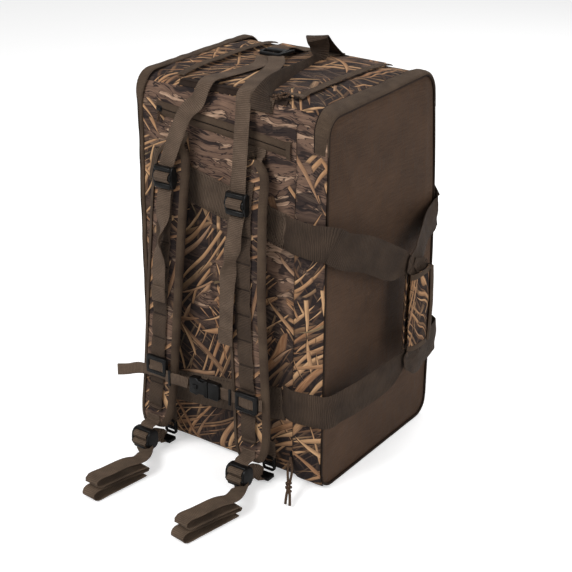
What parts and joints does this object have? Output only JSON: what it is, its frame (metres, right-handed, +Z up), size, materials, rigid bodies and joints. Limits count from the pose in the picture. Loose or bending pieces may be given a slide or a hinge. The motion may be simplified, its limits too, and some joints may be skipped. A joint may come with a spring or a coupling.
{
  "type": "camouflage blind-carry duffel pack",
  "caption": "Camouflage field-blind duffel pack standing on end, with padded backpack harness, wrapped haul handles, zipped lid, end pocket and carry handle.",
  "frame": {"origin": "middle of the closed end of the bag that rests on the floor", "axes": "+Z up along the bag's length, -Y out of the face with the shoulder harness, +X out of the zipped lid, -X out of the base panel"},
  "size_m": [0.3933, 0.5192, 0.6148],
  "materials": {
    "camo_polyester": "marsh-grass camouflage print on coated woven polyester",
    "brown_polyester": "heavy dark brown woven polyester",
    "brown_webbing": "ribbed nylon webbing, olive brown",
    "black_acetal": "moulded, fine texture",
    "grey_foam": "closed-cell foam sheet",
    "brown_cord": "braided cord and zip tape",
    "stiffener_board": "semi-rigid plastic sheet"
  },
  "bodies": {
    "bag": {"side_walls": "camo_polyester", "base_panel": "brown_polyester", "base_stiffener": "stiffener_board", "back_panel_foam": "grey_foam", "harness_edge_binding": "brown_webbing", "top_band_left": "brown_webbing", "top_band_right": "brown_webbing", "end_pocket_panel": "camo_polyester", "end_pocket_zip_tape": "brown_cord", "harness_pocket_zip_tape": "brown_cord", "main_zip_tape_bag": "brown_cord", "haul_band_front_upper": "brown_webbing", "haul_band_front_lower": "brown_webbing", "haul_band_rear_upper": "brown_webbing", "haul_band_rear_lower": "brown_webbing", "pad_hanger_right": "brown_webbing", "pad_hanger_left": "brown_webbing", "lifter_web_right": "brown_webbing", "lifter_web_left": "brown_webbing", "lifter_buckle": "black_acetal", "bottom_loop_right": "brown_webbing", "bottom_loop_left": "brown_webbing"},
    "lid": {"lid_panel": "brown_polyester", "lid_flap": "camo_polyester", "lid_foam": "grey_foam", "lid_piping": "brown_webbing", "lid_corner_binding": "brown_webbing", "main_zip_tape_lid": "brown_cord"},
    "haul_front": {"haul_loop_front": "brown_webbing", "grip_wrap": "camo_polyester"},
    "grip_flap": {"grip_wrap_flap": "camo_polyester"},
    "haul_rear": {"haul_loop_rear": "brown_webbing"},
    "carry": {"carry_handle": "brown_webbing"},
    "harness": {"pad_right": "camo_polyester", "pad_left": "camo_polyester", "daisy_web_right": "brown_webbing", "daisy_web_left": "brown_webbing", "lower_web_right": "brown_webbing", "lower_web_left": "brown_webbing"},
    "tail_right": {"tail_right": "brown_webbing"},
    "tail_left": {"tail_left": "brown_webbing"},
    "upper_lock_right": {"upper_ladder_lock_right": "black_acetal"},
    "upper_lock_left": {"upper_ladder_lock_left": "black_acetal"},
    "lower_lock_right": {"lower_ladder_lock_right": "black_acetal"},
    "lower_lock_left": {"lower_ladder_lock_left": "black_acetal"},
    "sternum": {"sternum_slider_right": "black_acetal", "sternum_slider_left": "black_acetal", "sternum_web_right": "brown_webbing", "sternum_web_left": "brown_webbing", "sternum_buckle_male": "black_acetal"},
    "sternum_latch": {"sternum_buckle_female": "black_acetal"},
    "hook_right": {"lower_hook_right": "black_acetal"},
    "hook_left": {"lower_hook_left": "black_acetal"},
    "main_slider": {"main_zip_slider": "black_acetal"},
    "main_cord": {"main_zip_cord": "brown_cord"},
    "harness_slider": {"harness_pocket_slider": "black_acetal"},
    "harness_cord": {"harness_pocket_cord": "brown_cord"},
    "end_slider": {"end_pocket_slider": "black_acetal"},
    "end_pull": {"end_pocket_pull": "black_acetal"}
  },
  "joints": [
    {"name": "lid_open", "type": "hinge", "parent": "bag", "child": "lid", "pos_m": [0.161, 0.149, 0.28], "axis": [0, 0, 1], "range_deg": [0, 110]},
    {"name": "haul_front_swing", "type": "hinge", "parent": "bag", "child": "haul_front", "pos_m": [0.0975, -0.1525, 0.256], "axis": [0, 0, 1], "range_deg": [-88, 0], "deforming": ["haul_loop_front", "grip_wrap"]},
    {"name": "haul_rear_swing", "type": "hinge", "parent": "bag", "child": "haul_rear", "pos_m": [0.0975, 0.1525, 0.256], "axis": [0, 0, 1], "range_deg": [0, 110], "deforming": ["haul_loop_rear"]},
    {"name": "grip_flap_open", "type": "hinge", "parent": "haul_front", "child": "grip_flap", "pos_m": [0.2052, 0.048, 0.24], "axis": [0, 0, 1], "range_deg": [0, 143], "deforming": ["grip_wrap_flap"]},
    {"name": "carry_handle_swing", "type": "hinge", "parent": "bag", "child": "carry", "pos_m": [0.054, -0.147, 0.564], "axis": [-0.1981, 0.9796, 0.033], "range_deg": [-60, 60], "deforming": ["carry_handle"]},
    {"name": "harness_swing", "type": "hinge", "parent": "bag", "child": "harness", "pos_m": [-0.019, -0.154, 0.482], "axis": [1, 0, 0], "range_deg": [-25, 0], "deforming": ["lifter_web_right", "lifter_web_left", "lower_web_right", "lower_web_left"]},
    {"name": "tail_right_droop", "type": "hinge", "parent": "harness", "child": "tail_right", "pos_m": [0.057, -0.198, 0.012], "axis": [1, 0, 0], "range_deg": [0, 25], "deforming": ["tail_right"]},
    {"name": "tail_left_droop", "type": "hinge", "parent": "harness", "child": "tail_left", "pos_m": [-0.124, -0.198, 0.012], "axis": [1, 0, 0], "range_deg": [0, 25], "deforming": ["tail_left"]},
    {"name": "upper_lock_right_tilt", "type": "hinge", "parent": "harness", "child": "upper_lock_right", "pos_m": [0.041, -0.1865, 0.4055], "axis": [1, 0, 0], "range_deg": [0, 35]},
    {"name": "lower_lock_right_tilt", "type": "hinge", "parent": "harness", "child": "lower_lock_right", "pos_m": [0.0608, -0.203, 0.0385], "axis": [1, 0, 0], "range_deg": [-35, 0]},
    {"name": "upper_lock_left_tilt", "type": "hinge", "parent": "harness", "child": "upper_lock_left", "pos_m": [-0.083, -0.1865, 0.4195], "axis": [1, 0, 0], "range_deg": [0, 35]},
    {"name": "lower_lock_left_tilt", "type": "hinge", "parent": "harness", "child": "lower_lock_left", "pos_m": [-0.12506, -0.203, 0.0385], "axis": [1, 0, 0], "range_deg": [-35, 0]},
    {"name": "sternum_height", "type": "slide", "parent": "harness", "child": "sternum", "axis": [0, 0, 1], "range_m": [-0.03, 0.03]},
    {"name": "sternum_release", "type": "slide", "parent": "sternum", "child": "sternum_latch", "axis": [-1, 0, 0], "range_m": [0, 0.024], "deforming": ["sternum_web_left"]},
    {"name": "hook_right_swing", "type": "hinge", "parent": "bag", "child": "hook_right", "pos_m": [0.072, -0.1535, 0.031], "axis": [1, 0, 0], "range_deg": [-40, 5]},
    {"name": "hook_left_swing", "type": "hinge", "parent": "bag", "child": "hook_left", "pos_m": [-0.113, -0.1535, 0.031], "axis": [1, 0, 0], "range_deg": [-40, 5]},
    {"name": "main_zip_slide", "type": "slide", "parent": "bag", "child": "main_slider", "axis": [0, 0, 1], "range_m": [0, 0.465]},
    {"name": "main_cord_swing", "type": "hinge", "parent": "main_slider", "child": "main_cord", "pos_m": [0.11, -0.1555, 0.043], "axis": [0, 1, 0], "range_deg": [-50, 50]},
    {"name": "harness_zip_slide", "type": "slide", "parent": "bag", "child": "harness_slider", "axis": [0.9948, 0, -0.1017], "range_m": [0, 0.195]},
    {"name": "harness_cord_swing", "type": "hinge", "parent": "harness_slider", "child": "harness_cord", "pos_m": [-0.11725, -0.156, 0.51531], "axis": [0, 1, 0], "range_deg": [-40, 40]},
    {"name": "end_zip_slide", "type": "slide", "parent": "bag", "child": "end_slider", "axis": [1, 0, 0], "range_m": [-0.165, 0]},
    {"name": "end_pull_swing", "type": "hinge", "parent": "end_slider", "child": "end_pull", "pos_m": [0.088, -0.135, 0.5665], "axis": [0, 1, 0], "range_deg": [-110, 0]}
  ],
  "couplings": [
    {"joint": "haul_front_swing", "follows": "lid_open", "ratio": -0.8},
    {"joint": "haul_rear_swing", "follows": "lid_open", "ratio": 1},
    {"joint": "grip_flap_open", "follows": "lid_open", "ratio": 1.3},
    {"joint": "tail_right_droop", "follows": "harness_swing", "ratio": -1},
    {"joint": "tail_left_droop", "follows": "harness_swing", "ratio": -1}
  ]
}
